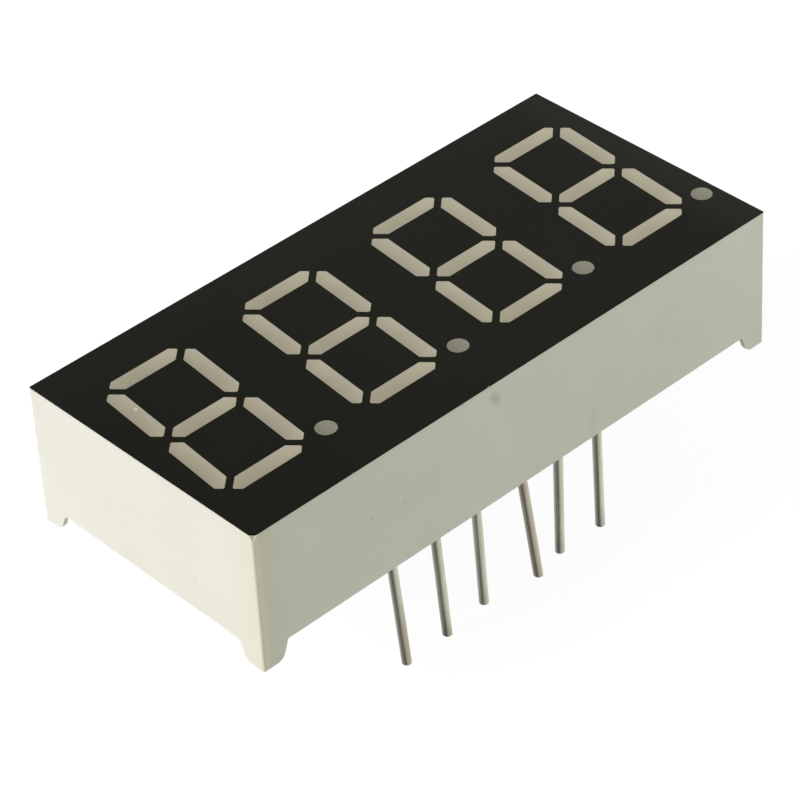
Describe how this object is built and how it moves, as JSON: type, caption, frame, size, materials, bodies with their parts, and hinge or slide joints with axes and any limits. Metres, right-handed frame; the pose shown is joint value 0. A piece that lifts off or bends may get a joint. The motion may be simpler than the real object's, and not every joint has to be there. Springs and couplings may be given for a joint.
{
  "type": "seven segment display module",
  "caption": "LED display module with slanted seven segment digits and decimal points in a black face, a white housing on corner feet and two rows of bent wire pins.",
  "frame": {"origin": "centre of the seating plane, where the undersides of the corner feet meet a circuit board", "axes": "+X along the digits to the reader's right, +Y to the top of the digits, +Z out of the display face"},
  "size_m": [0.03, 0.014, 0.0136],
  "materials": {
    "white_moulding": "warm white moulding with a soft sheen",
    "black_ink": "printed black layer with a faint gloss",
    "milky_resin": "cast diffusing resin, level with the face",
    "board_laminate": "glass fibre laminate with a green coat",
    "gold_plating": "thin gold plating over copper",
    "solder": "bright fillets with a slight frost",
    "tinned_wire": "tinned, drawn lengthways",
    "lamp_die": "sawn semiconductor",
    "gold_wire": "bright drawn gold"
  },
  "bodies": {
    "root": {"reflector_housing": "white_moulding", "face_mask": "black_ink", "resin_fill": "milky_resin", "circuit_board": "board_laminate", "front_copper": "gold_plating", "back_copper": "gold_plating", "solder_joints": "solder", "pin_1": "tinned_wire", "pin_2": "tinned_wire", "pin_3": "tinned_wire", "pin_4": "tinned_wire", "pin_5": "tinned_wire", "pin_6": "tinned_wire", "pin_7": "tinned_wire", "pin_8": "tinned_wire", "pin_9": "tinned_wire", "pin_10": "tinned_wire", "pin_11": "tinned_wire", "pin_12": "tinned_wire", "die_1a": "lamp_die", "die_1b": "lamp_die", "die_1c": "lamp_die", "die_1d": "lamp_die", "die_1e": "lamp_die", "die_1f": "lamp_die", "die_1g": "lamp_die", "die_1p": "lamp_die", "die_2a": "lamp_die", "die_2b": "lamp_die", "die_2c": "lamp_die", "die_2d": "lamp_die", "die_2e": "lamp_die", "die_2f": "lamp_die", "die_2g": "lamp_die", "die_2p": "lamp_die", "die_3a": "lamp_die", "die_3b": "lamp_die", "die_3c": "lamp_die", "die_3d": "lamp_die", "die_3e": "lamp_die", "die_3f": "lamp_die", "die_3g": "lamp_die", "die_3p": "lamp_die", "die_4a": "lamp_die", "die_4b": "lamp_die", "die_4c": "lamp_die", "die_4d": "lamp_die", "die_4e": "lamp_die", "die_4f": "lamp_die", "die_4g": "lamp_die", "die_4p": "lamp_die", "bond_wires_1": "gold_wire", "bond_wires_2": "gold_wire", "bond_wires_3": "gold_wire", "bond_wires_4": "gold_wire"}
  },
  "joints": []
}
